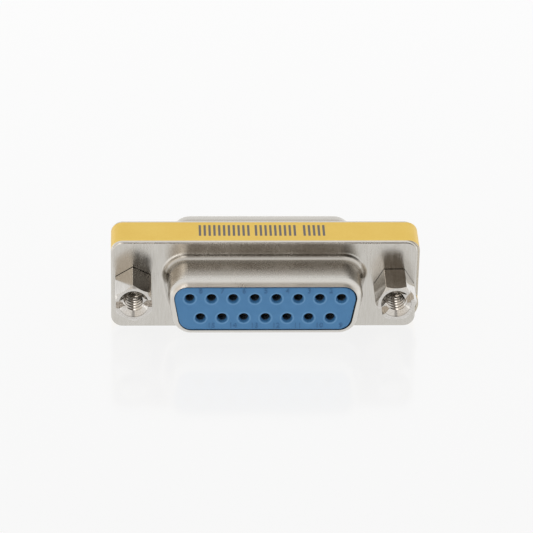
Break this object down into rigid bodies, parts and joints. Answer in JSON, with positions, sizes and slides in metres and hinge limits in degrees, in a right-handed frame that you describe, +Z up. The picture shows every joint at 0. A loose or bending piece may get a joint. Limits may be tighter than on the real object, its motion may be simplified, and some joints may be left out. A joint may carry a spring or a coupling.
{
  "type": "d-sub gender changer",
  "caption": "Compact socket to socket D-sub gender changer with nickel shells, blue insulators, slotted hex jack sockets and a yellow folded middle band.",
  "frame": {"origin": "under the middle of the body, on the surface that the lower run of the band rests on", "axes": "+X along the contact rows, the two mating faces look along -Y (front, wide row up) and +Y (rear, wide row down), +Z up"},
  "size_m": [0.0396, 0.0174, 0.0126],
  "materials": {
    "shell_nickel": "satin nickel plating on drawn steel sheet",
    "insulator_blue": "matte blue moulded thermoplastic",
    "contact_gold": "gold flash on copper alloy",
    "jack_nickel": "bright nickel plating on turned hexagon bar",
    "spacer_zinc": "plain zinc plating",
    "band_yellow": "satin yellow finish on thin steel strip"
  },
  "bodies": {
    "root": {"contact_01": "contact_gold", "contact_02": "contact_gold", "contact_03": "contact_gold", "contact_04": "contact_gold", "contact_05": "contact_gold", "contact_06": "contact_gold", "contact_07": "contact_gold", "contact_08": "contact_gold", "contact_09": "contact_gold", "contact_10": "contact_gold", "contact_11": "contact_gold", "contact_12": "contact_gold", "contact_13": "contact_gold", "contact_14": "contact_gold", "contact_15": "contact_gold", "front_shell": "shell_nickel", "front_insulator": "insulator_blue", "jack_front_left": "jack_nickel", "jack_front_right": "jack_nickel", "rear_shell": "shell_nickel", "rear_insulator": "insulator_blue", "jack_rear_left": "jack_nickel", "jack_rear_right": "jack_nickel", "spacer_left": "spacer_zinc", "spacer_right": "spacer_zinc", "middle_band": "band_yellow"}
  },
  "joints": []
}
